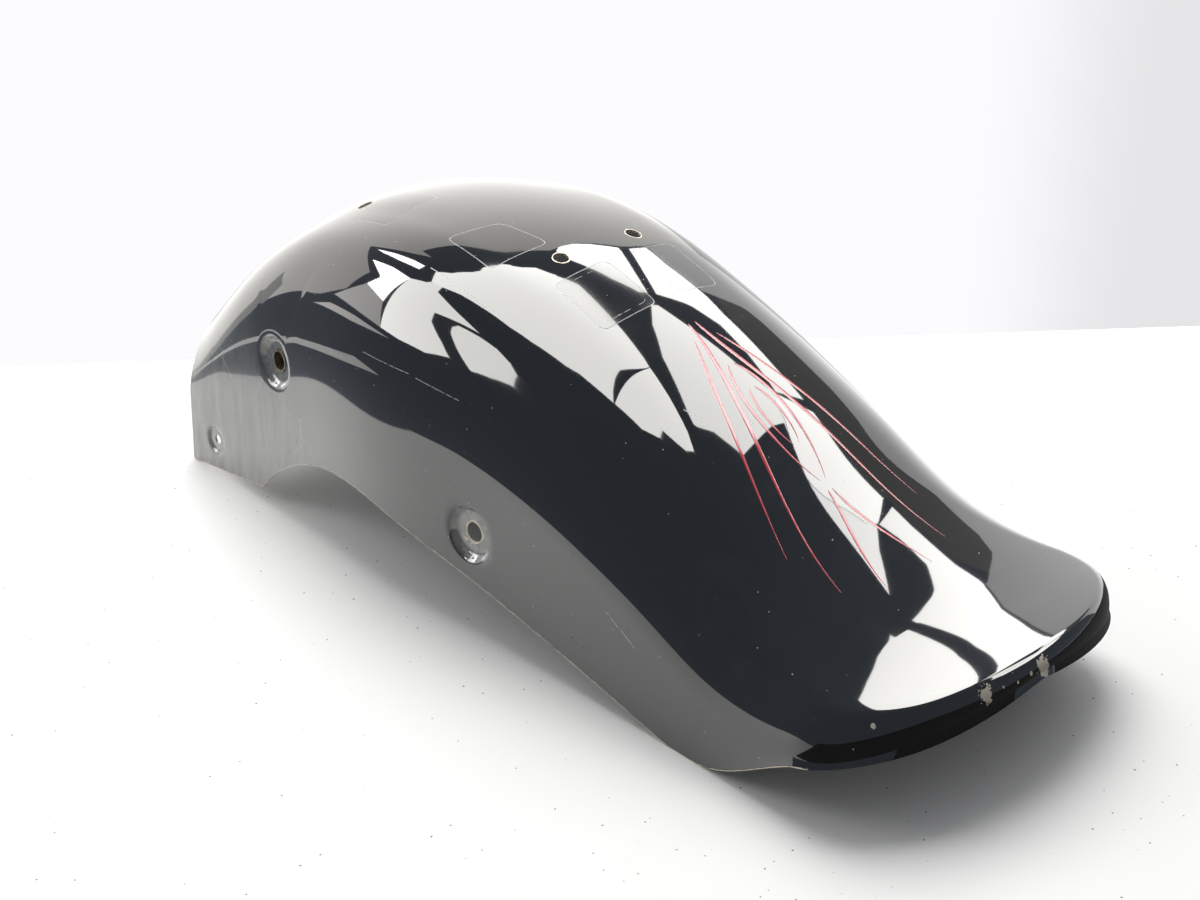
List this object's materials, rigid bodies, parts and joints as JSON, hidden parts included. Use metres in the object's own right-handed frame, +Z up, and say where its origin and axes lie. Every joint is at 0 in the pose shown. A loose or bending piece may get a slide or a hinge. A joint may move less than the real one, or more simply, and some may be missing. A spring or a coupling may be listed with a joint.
{
  "type": "motorcycle rear fender",
  "caption": "Pressed steel motorcycle rear fender with a ducktail, turned-down lip, dished bolt seats on both flanks and holes in the crown.",
  "frame": {"origin": "on the floor under the middle of the fender as it stands on its front and rear lower corners", "axes": "+X from the front edge towards the ducktail, +Z up; the fender is the same on both sides of Y = 0, and -Y is the side that faces the camera in the picture"},
  "size_m": [0.698, 0.279, 0.2436],
  "materials": {
    "lacquer": "deep gloss black lacquer over pressed steel, with clear film patches, thin red pinstripes and a few chips",
    "bush_steel": "bare turned steel, dulled"
  },
  "bodies": {
    "root": {"fender_shell": "lacquer", "front_bush_left": "bush_steel", "front_bush_right": "bush_steel"}
  },
  "joints": []
}
